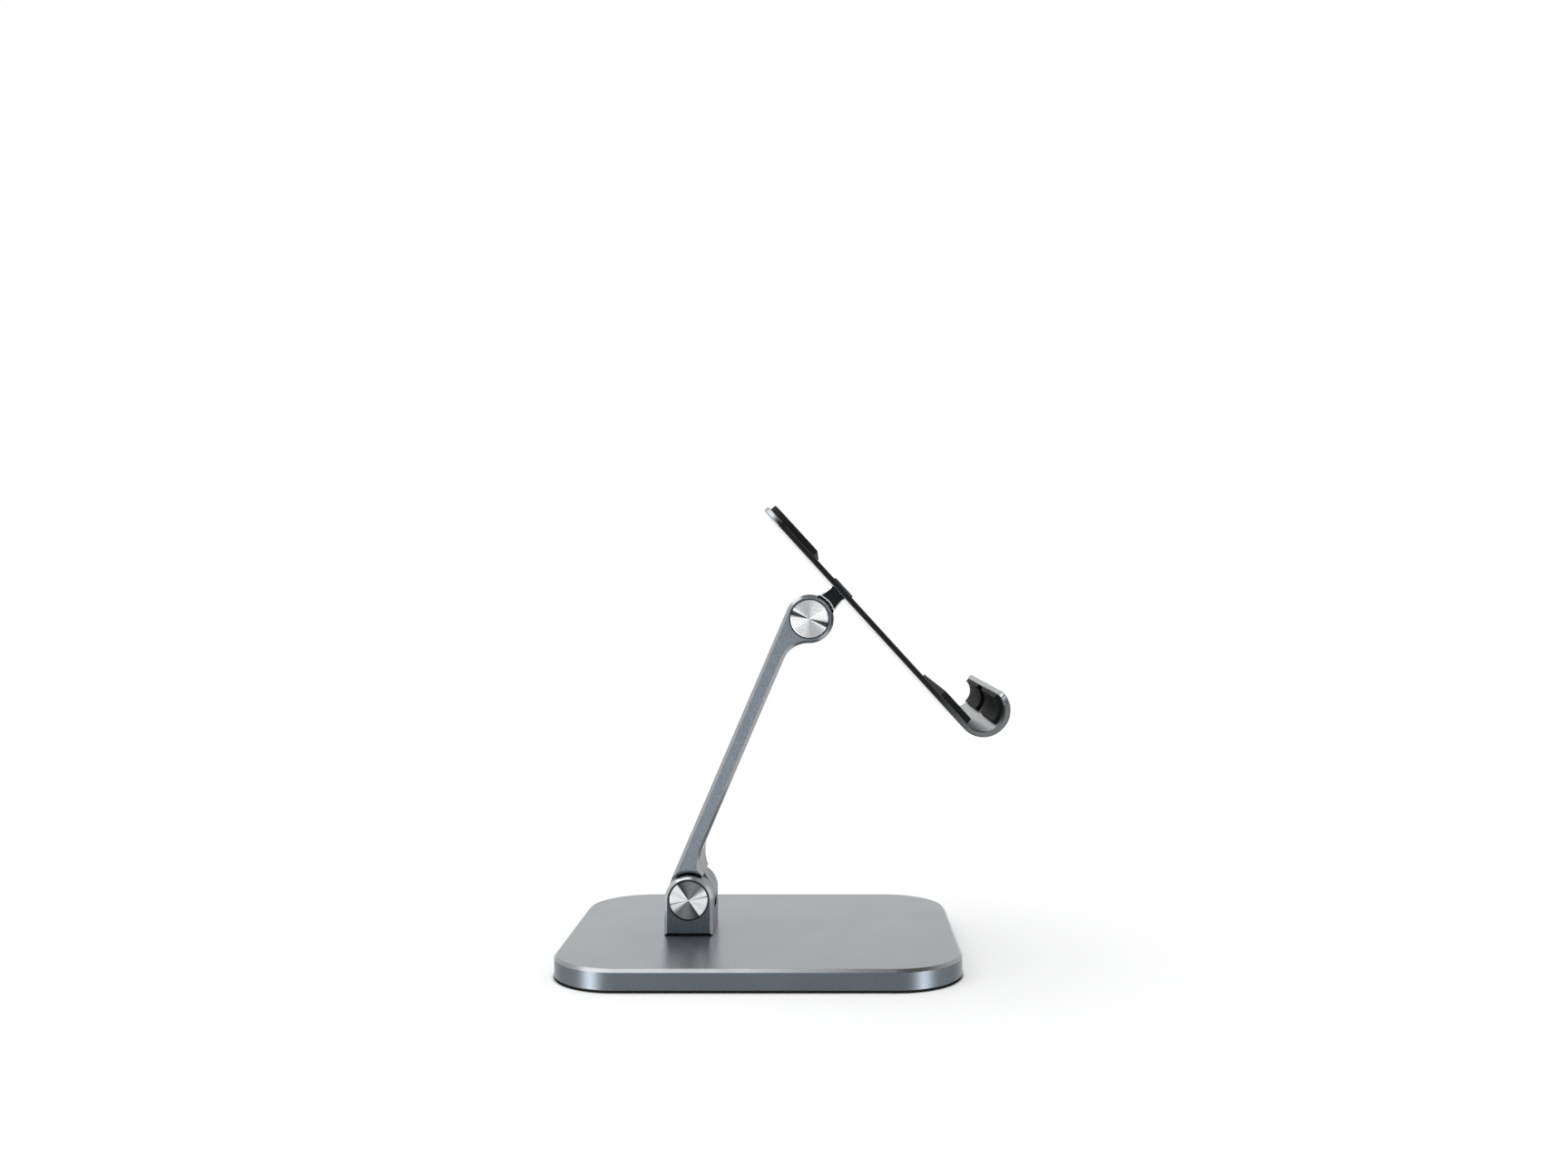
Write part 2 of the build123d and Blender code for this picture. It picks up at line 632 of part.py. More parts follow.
def lip_pad(side):
    """Pad that lines the shelf and the lip on one side of the middle."""
    outer, inner = INNER_BEND, INNER_BEND - LIP_PAD_THICK
    foot = lip_bend[1] - LIP_PAD_FOOT
    tip = LIP_TIP + LIP_PAD_SHORT
    face = shelf_inside - LIP_PAD_THICK
    with BuildPart() as pad:
        with BuildSketch(TRAY_SIDE):
            with BuildLine():
                Line((shelf_inside, foot), (shelf_inside, lip_bend[1]))
                ThreePointArc(
                    (shelf_inside, lip_bend[1]),
                    bend_middle(lip_bend, outer, 1),
                    (BEND_START, lip_bend[1] + outer),
                )
                Line((BEND_START, lip_bend[1] + outer), (tip, lip_bend[1] + outer))
                Line((tip, lip_bend[1] + outer), (tip, lip_bend[1] + inner))
                Line((tip, lip_bend[1] + inner), (BEND_START, lip_bend[1] + inner))
                ThreePointArc(
                    (BEND_START, lip_bend[1] + inner),
                    bend_middle(lip_bend, inner, 1),
                    (face, lip_bend[1]),
                )
                Line((face, lip_bend[1]), (face, foot))
                Line((face, foot), (shelf_inside, foot))
            make_face()
        extrude(amount=-side * LIP_PAD_TO)
        with BuildSketch(TRAY_SIDE):
            with Locations((BEND_START, lip_bend[1])):
                Rectangle(4 * BEND_RADIUS, 4 * BEND_RADIUS)
        extrude(amount=-side * LIP_PAD_FROM, mode=Mode.SUBTRACT)
    return pad


# ---- files -----------------------------------------------------------------

save(base_shell, "base_shell")
save(counterweight_plate, "counterweight_plate")
save(counterweight_screws, "counterweight_screws")
save(foot_pad, "foot_pad")
save(base_bracket, "base_bracket")
save(base_bracket_screws, "base_bracket_screws")
save(arm, "arm")
save(tray_bracket, "tray_bracket")
save(tray_plate, "tray_plate")
save(tray_bracket_screws, "tray_bracket_screws")
save(top_pad, "top_pad")
save(lower_pad, "lower_pad")
save(screw_cover, "screw_cover")
save(lip_pad(-1), "lip_pad_left")
save(lip_pad(1), "lip_pad_right")
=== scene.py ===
"""Looks of the tablet stand: materials, spun end caps, studio and camera.

Everything is in metres in the CAD frame: +X to the user, +Y to the user's
right hand, +Z up, origin under the middle of the base.  Tones are linear.
"""
import json
import math

import bmesh
import bpy
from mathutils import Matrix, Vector


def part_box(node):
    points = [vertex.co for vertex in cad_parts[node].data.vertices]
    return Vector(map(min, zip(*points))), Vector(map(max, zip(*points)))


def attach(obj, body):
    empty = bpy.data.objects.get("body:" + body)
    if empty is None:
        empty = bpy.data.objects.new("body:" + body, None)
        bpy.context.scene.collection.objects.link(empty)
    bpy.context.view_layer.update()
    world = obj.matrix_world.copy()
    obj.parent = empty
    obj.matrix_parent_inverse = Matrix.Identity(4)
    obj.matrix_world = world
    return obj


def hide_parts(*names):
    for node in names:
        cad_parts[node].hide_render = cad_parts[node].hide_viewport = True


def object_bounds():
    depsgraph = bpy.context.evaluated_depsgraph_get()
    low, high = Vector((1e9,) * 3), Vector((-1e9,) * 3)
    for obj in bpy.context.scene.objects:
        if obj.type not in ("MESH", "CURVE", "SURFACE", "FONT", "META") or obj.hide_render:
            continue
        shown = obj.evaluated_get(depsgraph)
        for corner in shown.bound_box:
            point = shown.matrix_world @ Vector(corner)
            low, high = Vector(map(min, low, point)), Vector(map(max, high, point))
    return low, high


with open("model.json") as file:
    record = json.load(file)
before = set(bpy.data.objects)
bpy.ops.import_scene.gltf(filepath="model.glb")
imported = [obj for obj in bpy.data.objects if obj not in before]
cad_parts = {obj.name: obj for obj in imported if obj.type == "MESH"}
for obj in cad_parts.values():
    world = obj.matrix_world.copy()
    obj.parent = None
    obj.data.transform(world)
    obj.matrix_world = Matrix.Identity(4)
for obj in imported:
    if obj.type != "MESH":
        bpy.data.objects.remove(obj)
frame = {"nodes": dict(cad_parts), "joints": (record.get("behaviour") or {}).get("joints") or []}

CAD_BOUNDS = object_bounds()
MM_PER_METRE = 1000.0
MM = 1 / MM_PER_METRE
HINGES = {joint["name"]: Vector(joint["pos_m"]) for joint in frame["joints"]}
TRAY_TILT = math.radians(42.45)        # the tray's face above horizontal
TRAY_DOWN = (math.sin(TRAY_TILT), 0.0, -math.cos(TRAY_TILT))


# ---- shader graph helper -----------------------------------------------------

NOISE_LOW, NOISE_HIGH = 0.3, 0.7       # where nearly all of a noise's values lie

# a Mix node's numbered inputs and output, by the kind of data that it mixes
MIX_SHARE = 0
VALUE_A, VALUE_B, VALUE_OUT = 2, 3, 0
COLOUR_A, COLOUR_B, COLOUR_OUT = 6, 7, 2


class Graph:
    """A node tree, built by calls that return output sockets."""

    def __init__(self, tree):
        self.tree = tree
        tree.nodes.clear()

    def node(self, kind, inputs=None, **settings):
        """Add a node, set its properties and wire or set its inputs."""
        made = self.tree.nodes.new("ShaderNode" + kind)
        for key, value in settings.items():
            setattr(made, key, value)
        for key, value in (inputs or {}).items():
            socket = made.inputs[key]
            if isinstance(value, bpy.types.NodeSocket):
                self.tree.links.new(value, socket)
            else:
                socket.default_value = value
        return made

    def math(self, operation, a, b=0.0, c=0.5):
        """One arithmetic step; the third value only matters to MULTIPLY_ADD."""
        return self.node("Math", {0: a, 1: b, 2: c}, operation=operation).outputs[0]

    def ramp(self, value, low, high, to_low=0.0, to_high=1.0):
        """Smooth step of a value between two limits."""
        limits = {"From Min": low, "From Max": high, "To Min": to_low, "To Max": to_high}
        made = self.node("MapRange", {"Value": value, **limits}, interpolation_type="SMOOTHSTEP")
        return made.outputs["Result"]

    def vary(self, noise, low, high):
        """Spread a noise's usual values smoothly between two limits."""
        return self.ramp(noise, NOISE_LOW, NOISE_HIGH, low, high)

    def mix(self, share, a, b):
        """Mix two colours."""
        inputs = {MIX_SHARE: share, COLOUR_A: a, COLOUR_B: b}
        return self.node("Mix", inputs, data_type="RGBA").outputs[COLOUR_OUT]

    def mix_values(self, share, a, b):
        """Mix two numbers."""
        inputs = {MIX_SHARE: share, VALUE_A: a, VALUE_B: b}
        return self.node("Mix", inputs, data_type="FLOAT").outputs[VALUE_OUT]

    def mix_shaders(self, share, a, b):
        """Mix two surfaces or backgrounds."""
        return self.node("MixShader", {0: share, 1: a, 2: b}).outputs[0]

    def scaled(self, colour, factor):
        """Colour times a number."""
        return self.node("VectorMath", {0: colour, "Scale": factor}, operation="SCALE").outputs[0]

    def colour_along(self, share, stops):
        """Colour at a share of the way along (place, colour) stops."""
        ramp = self.node("ValToRGB", {"Fac": share})
        elements = ramp.color_ramp.elements
        elements.remove(elements[1])
        elements[0].position, elements[0].color = stops[0]
        for place, colour in stops[1:]:
            elements.new(place).color = colour
        return ramp.outputs["Color"]

    def position(self, scale=1.0, stretch=(1.0, 1.0, 1.0)):
        """Object coordinates in millimetres, scaled and stretched."""
        place = self.node("TexCoord").outputs["Object"]
        factor = [MM_PER_METRE * scale * axis for axis in stretch]
        return self.node("Mapping", {"Vector": place, "Scale": factor}).outputs[0]

    def noise(self, scale, detail=2.0, stretch=(1.0, 1.0, 1.0), rough=0.5):
        """Noise with features of about 1/scale millimetres."""
        place = self.position(scale, stretch)
        inputs = {"Vector": place, "Scale": 1.0, "Detail": detail, "Roughness": rough}
        return self.node("TexNoise", inputs).outputs["Fac"]

    def cells(self, scale, **settings):
        """Distance from the middles of cells about 1/scale millimetres wide."""
        inputs = {"Vector": self.position(scale), "Scale": 1.0}
        return self.node("TexVoronoi", inputs, **settings).outputs["Distance"]

    def openness(self, reach, samples=6):
        """1 in the open, towards 0 where other faces are within reach."""
        return self.node("AmbientOcclusion", {"Distance": reach}, samples=samples).outputs["AO"]

    def soft_edges(self, radius_mm, samples=4):
        """Normal that rounds edges by a small radius."""
        return self.node("Bevel", {"Radius": radius_mm * MM}, samples=samples).outputs[0]

    def bump(self, height, distance_mm, strength=1.0, normal=None):
        """Normal tilted by a height map, on top of another normal if one is given."""
        inputs = {"Height": height, "Distance": distance_mm * MM, "Strength": strength}
        if normal is not None:
            inputs["Normal"] = normal
        return self.node("Bump", inputs).outputs[0]

    def finish(self, **inputs):
        """Principled surface from named inputs; underscores stand for spaces."""
        named = {key.replace("_", " "): value for key, value in inputs.items()}
        shader = self.node("BsdfPrincipled", named)
        self.node("OutputMaterial", {"Surface": shader.outputs[0]})


def new_material(name):
    """An empty material and the graph to fill it with."""
    made = bpy.data.materials.new(name)
    made.use_nodes = True
    return made, Graph(made.node_tree)


def grey(value, blue=0.0):
    """Linear grey with a touch of blue."""
    return (value, value * (1 + blue * 0.5), value * (1 + blue), 1.0)


# ---- anodised aluminium --------------------------------------------------------

# the axis that a piece's chamfered faces are cut square to
HINGE_AXIS = "Y"
UPRIGHT = "Z"

FACE_BLUE = 0.12
# painted shade: the blue of the side faces, which also take a darker tone than the main faces
SHADED_SIDE_BLUE = 0.30
CHAMFER_BLUE = 0.06
CHAMFER_WITHIN = (0.012, 0.03)         # how far a chamfer's normal may be off 45 degrees
SQUARE_ON = (0.80, 0.99)               # normals of side faces, towards the hinge axes
UPRIGHT_WALL = (0.2, 0.5)              # normals of walls, towards the sky

BLAST_PER_MM = 1.6
PITS_PER_MM = 5.5
CLOUDS_PER_MM = 0.03
HANDLING_PER_MM = 0.09
FLECKS = (0.32, 0.68)                  # blast noise from the darkest to the lightest fleck
FLECK_CONTRAST = 0.34                  # of the flecks at full grain
BLAST_DEPTH_MM = 0.008
PIT_DEPTH_MM = 0.005
WORN_EDGE_MM = 0.12
POLISHED = (0.20, 0.26)                # roughness of the chamfers, as handling varies it
GRAZING = (0.955, 0.987)               # from a shallow view of a face to one almost along it
# painted reflection: the near white colour that a face turns to when seen almost along it
GRAZING_REFLECTION_TONE = 0.97
GRAZING_SHINE = 0.75                   # share of the roughness that a grazing view takes away
# painted shade in crevices: how near other faces must be, how open a point must be, and how dark it
# turns
CREVICE_REACH = 1.6 * MM
CREVICE_OPENNESS = (0.25, 0.80)
CREVICE_SHADE_TONE = 0.12
# painted light on the tray's sides, which turn lighter towards the lip
LIT_LIP_FADE = (52.0, 82.0)                # mm down the tray where its sides turn lighter


def normal_along(graph, axis):
    """How far a face looks along an axis: 1 if square to it, 0 if it runs beside it."""
    normal = graph.node("NewGeometry").outputs["True Normal"]
    return graph.math("ABSOLUTE", graph.node("SeparateXYZ", {0: normal}).outputs[axis])


def chamfer_mask(graph, axis):
    """1 on chamfers at 45 degrees to an axis, 0 on faces well away from that."""
    off = graph.math("SUBTRACT", normal_along(graph, axis), math.sqrt(0.5))
    return graph.ramp(graph.math("ABSOLUTE", off), *CHAMFER_WITHIN, 1.0, 0.0)


def side_mask(graph, axis):
    """1 on the faces square to the hinge axes, or on the upright walls of the flat base."""
    if axis == HINGE_AXIS:
        return graph.ramp(normal_along(graph, axis), *SQUARE_ON)
    return graph.ramp(normal_along(graph, axis), *UPRIGHT_WALL, 1.0, 0.0)


def down_tray(graph):
    """Millimetres from the upper hinge down the tray's slope."""
    place = graph.node("TexCoord").outputs["Object"]
    offset = graph.node("VectorMath", {0: place, 1: HINGES["tray_tilt"]}, operation="SUBTRACT")
    along = graph.node("VectorMath", {0: offset.outputs[0], 1: TRAY_DOWN}, operation="DOT_PRODUCT")
    return graph.math("MULTIPLY", along.outputs["Value"], MM_PER_METRE)


def anodised(name, axis, tone, side_tone, chamfer_tone, roughness, grain, lip_tone=None):
    """Bead-blasted anodised aluminium with bright cut chamfers.

    tone is that of the main faces, side_tone of the faces that side_mask
    picks, a darker and bluer painted shade; chamfer_tone is that of the cut
    chamfers, partly painted light and shade; grain is how strong the blasted
    flecks are, from 0 to 1.  lip_tone is the painted light that the sides
    of the tray fade to round its lip.
    """
    made, graph = new_material(name)
    blast = graph.noise(BLAST_PER_MM, rough=0.7)
    pits = graph.noise(PITS_PER_MM, 1.0)
    cloud = graph.noise(CLOUDS_PER_MM)
    handling = graph.noise(HANDLING_PER_MM, 3.0, rough=0.55)
    chamfer = chamfer_mask(graph, axis)
    grazing = graph.ramp(graph.node("LayerWeight", {"Blend": 0.5}).outputs["Facing"], *GRAZING)

    # painted shade: the faces that side_mask picks take a darker, bluer tone
    sides = grey(side_tone, SHADED_SIDE_BLUE)
    # painted light: the tray's sides turn lighter down towards its lip
    if lip_tone is not None:
        sides = graph.mix(graph.ramp(down_tray(graph), *LIT_LIP_FADE), sides, grey(lip_tone, FACE_BLUE))
    colour = graph.mix(side_mask(graph, axis), grey(tone, FACE_BLUE), sides)
    contrast = FLECK_CONTRAST * grain
    fleck = graph.ramp(blast, *FLECKS, 1 - contrast, 1 + contrast)
    colour = graph.scaled(colour, graph.math("MULTIPLY", fleck, graph.vary(cloud, 0.97, 1.03)))
    # the cut chamfers are bare metal, and their tone, set for each piece, is partly painted light and
    # shade
    colour = graph.mix(chamfer, colour, grey(chamfer_tone, CHAMFER_BLUE))
    # painted shade darkens the crevices, and a painted reflection turns the colour near white at a
    # grazing view, where the metal also turns mirror-like
    light = graph.ramp(graph.openness(CREVICE_REACH), *CREVICE_OPENNESS, CREVICE_SHADE_TONE, 1.0)
    colour = graph.mix(grazing, graph.scaled(colour, light), grey(GRAZING_REFLECTION_TONE))

    satin = graph.math("ADD", roughness, graph.ramp(handling, 0.35, 0.7, -0.008, 0.012))
    satin = graph.math("ADD", satin, graph.vary(pits, -0.02, 0.03))
    rough = graph.mix_values(chamfer, satin, graph.vary(handling, *POLISHED))
    rough = graph.math("MULTIPLY", rough, graph.math("MULTIPLY_ADD", grazing, -GRAZING_SHINE, 1.0))

    blasted = graph.math("SUBTRACT", 1.0, chamfer)
    plain = graph.math("MULTIPLY", blasted, graph.math("SUBTRACT", 1.0, grazing))
    depth = graph.math("MULTIPLY", plain, 0.15 + 0.4 * grain)
    normal = graph.bump(blast, BLAST_DEPTH_MM, depth, graph.soft_edges(WORN_EDGE_MM))
    normal = graph.bump(pits, PIT_DEPTH_MM, depth, normal)
    graph.finish(
        Base_Color=colour, Metallic=0.92, Roughness=rough, Normal=normal, IOR=1.6,
        Specular_IOR_Level=0.5,
    )
    return made


# ---- spun aluminium --------------------------------------------------------------

HALF_TURN = 180.0                      # degrees
# (degrees round the disc, tone) of the light and dark wedges, painted highlights
# and painted shade for the light that the lathe's grooves scatter, set apart for
# the lower and the upper hinge; they repeat after half a turn because a groove
# scatters light both ways
LOWER_PAINTED_WEDGES = (
    (0, 0.82), (7, 0.76), (9.5, 0.70), (11, 0.24), (13, 0.24), (15, 0.80), (24, 0.95), (31, 0.80),
    (38, 0.44), (48, 0.21), (55, 0.20), (66, 0.26), (78, 0.26), (92, 0.22), (104, 0.15), (115, 0.08),
    (124, 0.03), (127, 0.95), (132, 1.0), (140, 1.0), (150, 0.78), (162, 0.74), (180, 0.82),
)
UPPER_PAINTED_WEDGES = (
    (0, 0.84), (18, 0.90), (26, 0.96), (33, 1.0), (38, 0.75), (48, 0.80), (60, 0.77), (74, 0.80),
    (86, 0.66), (98, 0.56), (124, 0.52), (133, 0.56), (142, 0.64), (147, 0.98), (151, 1.0),
    (154, 0.08), (160, 0.03), (167, 0.06), (172, 0.62), (176, 0.82), (180, 0.84),
)
RINGS_PER_MM = 5.0
RING_WANDER = 0.004                    # of the wedges' edges from ring to ring, in half turns


def spun(name, wedges):
    """Bright aluminium disc faced on a lathe: its rings scatter light, and the wedges that this makes
    are painted into the colour as highlights and shade.
    """
    made, graph = new_material(name)
    place = graph.node("SeparateXYZ", {0: graph.node("TexCoord").outputs["Object"]}).outputs
    x, z = place["X"], place["Z"]
    squares = graph.math("ADD", graph.math("MULTIPLY", x, x), graph.math("MULTIPLY", z, z))
    radius_mm = graph.math("MULTIPLY", graph.math("SQRT", squares), MM_PER_METRE)
    along_radius = graph.node("CombineXYZ", {0: radius_mm}).outputs[0]
    inputs = {"Vector": along_radius, "Scale": RINGS_PER_MM, "Detail": 2.0, "Roughness": 0.6}
    rings = graph.node("TexNoise", inputs).outputs["Fac"]

    angle = graph.math("DIVIDE", graph.math("ARCTAN2", z, x), math.pi)
    angle = graph.math("ADD", angle, graph.vary(rings, -RING_WANDER, RING_WANDER))
    share = graph.math("FRACT", graph.math("ADD", angle, 1.0))
    # painted highlights and painted shade: the wedge tones go into the colour round the disc
    painted_fan = graph.colour_along(share, [(turn / HALF_TURN, grey(tone, 0.02)) for turn, tone in wedges])
    tangent = graph.node("Tangent", direction_type="RADIAL", axis="Y").outputs[0]
    graph.finish(
        Base_Color=graph.scaled(painted_fan, graph.vary(rings, 0.92, 1.04)), Metallic=0.75,
        Roughness=graph.vary(rings, 0.30, 0.40), Anisotropic=0.8, Anisotropic_Rotation=0.25,
        Tangent=tangent, Normal=graph.bump(rings, 0.0006, 0.25),
    )
    return made


# ---- other materials ---------------------------------------------------------------

DUST_GAIN = 1.9                        # how much lighter than the rubber its dust is
PORE = (0.12, 0.06, 0.02, 1.0)
BARE_BRONZE = (0.55, 0.33, 0.13, 1.0)
OILED_BRONZE = (0.28, 0.15, 0.05, 1.0)


def rubber(name, tone):
    """Matte silicone: fine mould texture, faint dusting, softer edges."""
    made, graph = new_material(name)
    mould = graph.noise(5.0)
    dust = graph.ramp(graph.noise(0.25, 5.0, rough=0.7), 0.45, 0.75, 0.0, 0.5)
    graph.finish(
        Base_Color=graph.mix(dust, grey(tone), grey(tone * DUST_GAIN, 0.05)),
        Roughness=graph.vary(mould, 0.58, 0.78),
        Normal=graph.bump(mould, 0.02, 0.6, graph.soft_edges(0.3)), Specular_IOR_Level=0.12,
    )
    return made


def polymer(name):
    """Black moulded plastic with a spark-eroded texture."""
    made, graph = new_material(name)
    spark = graph.cells(4.0)
    graph.finish(
        Base_Color=graph.mix(graph.noise(0.2, 3.0), grey(0.016), grey(0.024)),
        Roughness=graph.ramp(spark, 0.1, 0.8, 0.38, 0.55),
        Normal=graph.bump(spark, 0.015, 0.5, graph.soft_edges(0.25)),
    )
    return made


def steel(name, tone, roughness, stretch, blue=0.02):
    """Stained steel with drawn or turned lines, which run where stretch is small."""
    made, graph = new_material(name)
    lines = graph.noise(1.0, 4.0, stretch, rough=0.65)
    stain = graph.ramp(graph.noise(0.12, 4.0, rough=0.6), 0.5, 0.8, 0.0, 0.35)
    colour = graph.mix(graph.vary(lines, 0.0, 1.0), grey(tone * 0.8, blue), grey(tone * 1.1, blue))
    graph.finish(
        Base_Color=graph.mix(stain, colour, grey(tone * 0.55, blue)), Metallic=1.0,
        Roughness=graph.math("ADD", roughness, graph.vary(lines, -0.05, 0.08)),
        Normal=graph.bump(lines, 0.006, 0.5),
    )
    return made


def bronze(name):
    """Oiled sintered bronze: open pores in a warm metal."""
    made, graph = new_material(name)
    pores = graph.cells(6.0, feature="SMOOTH_F1")
    oil = graph.noise(0.4, 3.0)
    colour = graph.mix(graph.ramp(pores, 0.05, 0.3), PORE, BARE_BRONZE)
    graph.finish(
        Base_Color=graph.mix(graph.ramp(oil, 0.5, 0.8, 0.0, 0.4), colour, OILED_BRONZE),
        Metallic=1.0, Roughness=graph.ramp(oil, 0.3, 0.8, 0.45, 0.28),
        Normal=graph.bump(pores, 0.02, 0.6),
    )
    return made


# ---- which piece wears what ----------------------------------------------------------

MATERIALS = {
    # side_tone is painted shade, chamfer_tone partly painted light and shade, and the tray's lip_tone
    # painted light
    "base": anodised(
        "base_anodised", UPRIGHT, tone=0.312, side_tone=0.112, chamfer_tone=0.29,
        roughness=0.29, grain=0.12,
    ),
    "arm": anodised(
        "arm_anodised", HINGE_AXIS, tone=0.23, side_tone=0.205, chamfer_tone=0.31,
        roughness=0.40, grain=0.6,
    ),
    "bracket": anodised(
        "bracket_anodised", HINGE_AXIS, tone=0.16, side_tone=0.115, chamfer_tone=0.42,
        roughness=0.34, grain=0.6,
    ),
    "neck": anodised(
        "neck_anodised", HINGE_AXIS, tone=0.10, side_tone=0.014, chamfer_tone=0.80,
        roughness=0.34, grain=0.6,
    ),
    "tray": anodised(
        "tray_anodised", HINGE_AXIS, tone=0.31, side_tone=0.014, chamfer_tone=0.05,
        roughness=0.30, grain=0.3, lip_tone=0.18,
    ),
    # one spun finish in two copies, each with the wedges of painted light and shade for its own hinge
    "lower_cap": spun("cap_spun_lower", LOWER_PAINTED_WEDGES),
    "upper_cap": spun("cap_spun_upper", UPPER_PAINTED_WEDGES),
    "rubber": rubber("rubber_black", 0.006),
    "foot": rubber("rubber_foot", 0.005),
    "polymer": polymer("polymer_black"),
    "raw_steel": steel("steel_raw", 0.38, 0.38, (0.15, 4.0, 4.0)),
    "zinc": steel("steel_zinc", 0.55, 0.28, (3.0, 0.4, 3.0), blue=0.05),
    "spring": steel("steel_spring", 0.10, 0.25, (4.0, 4.0, 4.0), blue=0.35),
    "bronze": bronze("bronze_sintered"),
}

HINGE_FINISHES = {
    "hinge_bolt": "zinc",
    "hinge_nut": "zinc",
    "disc_springs": "spring",
    "hinge_bush": "bronze",
    "friction_washers": "polymer",
}
FINISHES = {
    "base_shell": "base",
    "counterweight_plate": "raw_steel",
    "counterweight_screws": "zinc",
    "foot_pad": "foot",
    "base_bracket": "bracket",
    "base_bracket_screws": "zinc",
    "arm": "arm",
    "tray_bracket": "neck",
    "tray_bracket_screws": "zinc",
    "tray_plate": "tray",
    "top_pad": "rubber",
    "lower_pad": "rubber",
    "lip_pad_left": "rubber",
    "lip_pad_right": "rubber",
    "screw_cover": "polymer",
}
for hinge in ("lower", "upper"):
    for piece, finish in HINGE_FINISHES.items():
        FINISHES[f"{hinge}_{piece}"] = finish
    for side in ("left", "right"):
        FINISHES[f"{hinge}_cap_{side}"] = f"{hinge}_cap"


def wear(piece, finish):
    """Give a piece one material in its only slot."""
    piece.data.materials.clear()
    piece.data.materials.append(MATERIALS[finish])


for node, piece in frame["nodes"].items():
    wear(piece, FINISHES[node])


# ---- spun end caps -------------------------------------------------------------

CAP_STEPS = 160
CAP_RIM = 0.28 * MM
CAP_DISH = 0.12 * MM
DISH_RINGS = 24
RIM_RINGS = 6


def add_object(name, data):
    """A new object of the scene."""
    made = bpy.data.objects.new(name, data)
    bpy.context.scene.collection.objects.link(made)
    return made


def cap_profile(radius, thickness):
    """(radius, depth) points from the middle of a cap's face over its rim to its foot."""
    flat = radius - CAP_RIM
    points = []
    for step in range(DISH_RINGS + 1):
        share = step / DISH_RINGS
        points.append((flat * share, CAP_DISH * (1 - share * share)))
    for step in range(1, RIM_RINGS + 1):
        turn = math.radians(90 * step / RIM_RINGS)
        points.append((flat + CAP_RIM * math.sin(turn), CAP_RIM * (1 - math.cos(turn))))
    points.append((radius, thickness))
    return points


def lathe(name, profile, outward):
    """Closed mesh round the Y axis, from (radius, depth) points below a face that looks outward."""
    mesh = bmesh.new()
    middle = mesh.verts.new((0.0, -outward * profile[0][1], 0.0))
    rings = []
    for radius, depth in profile[1:]:
        ring = []
        for step in range(CAP_STEPS):
            turn = 2 * math.pi * step / CAP_STEPS
            place = (radius * math.cos(turn), -outward * depth, radius * math.sin(turn))
            ring.append(mesh.verts.new(place))
        rings.append(ring)
    for step in range(CAP_STEPS):
        after = (step + 1) % CAP_STEPS
        mesh.faces.new((middle, rings[0][step], rings[0][after]))
        for inner, outer in zip(rings, rings[1:]):
            mesh.faces.new((inner[step], outer[step], outer[after], inner[after]))
    mesh.faces.new(rings[-1])
    bmesh.ops.recalc_face_normals(mesh, faces=mesh.faces)
    for face in mesh.faces:
        face.smooth = len(face.verts) < CAP_STEPS
    data = bpy.data.meshes.new(name)
    mesh.to_mesh(data)
    mesh.free()
    return data


def make_cap(node, body):
    """Faced disc with a slight dish and a rolled rim, in place of a plain cap."""
    low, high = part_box(node)
    centre = (low + high) / 2
    outward = -1 if centre.y < 0 else 1
    face_y = low.y if outward < 0 else high.y
    profile = cap_profile((high.x - low.x) / 2, high.y - low.y)
    piece = add_object(f"{node}_faced", lathe(f"{node}_faced", profile, outward))
    piece.location = (centre.x, face_y, centre.z)
    wear(piece, FINISHES[node])
    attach(piece, body)
    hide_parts(node)


for hinge, body in (("lower", "base"), ("upper", "arm")):
    for side in ("left", "right"):
        make_cap(f"{hinge}_cap_{side}", body)


# ---- studio ------------------------------------------------------------------

FLOOR_TONE = 0.86
FLOOR_MIRROR = 0.85
FLOOR_REACH = 30.0
FLOOR_GAP = 0.05 * MM                  # below the foot
FLOOR_FADE = (0.08, 0.50)              # distance over which it fades into the backdrop
FLOOR_GLOW = 0.45                      # share of the backdrop in it beside the stand
# painted shadow where the foot meets the table: how near the foot must be, and how open the table must
# be to stay unshaded
CONTACT_REACH = 2.0 * MM
CONTACT_OPENNESS = (0.5, 0.9)
BACKDROP = (1.0, 1.0, 1.0, 1.0)
ROOM = grey(0.88, 0.02)                # what matte surfaces see

# where the studio's parts begin and end, by one component of the direction towards them
IN_FRONT = (-0.6, -0.1)
LEFT_TO_RIGHT = (-0.22, 0.06)
OVERHEAD = (0.55, 0.9)
SKY_LEFT_TO_RIGHT = (-0.25, 0.14)
BEHIND_CAMERA = (-0.8, -0.3)
ABOVE_TABLE = (0.0, 0.35)
# their brightness
LEAN = (0.14, -0.05)                   # added in front, from left to right
SKY = (1.15, 0.14)                     # overhead, from left to right
DIMMING = 0.55                         # taken away behind the camera

# what glossy surfaces see level with the table, by degrees away from the camera's side
STUDIO_RING = (
    (0, 0.90), (30, 0.90), (49, 1.5), (68, 1.0), (90, 1.2), (110, 0.92), (180, 0.92),
)
# the same mirrored in the table, with two low strip lights beside the camera
TABLE_RING = (
    (0, 0.90), (30, 0.90), (39, 3.6), (49, 10.5), (59, 4.0), (70, 1.0), (90, 1.2), (110, 0.92),
    (180, 0.92),
)
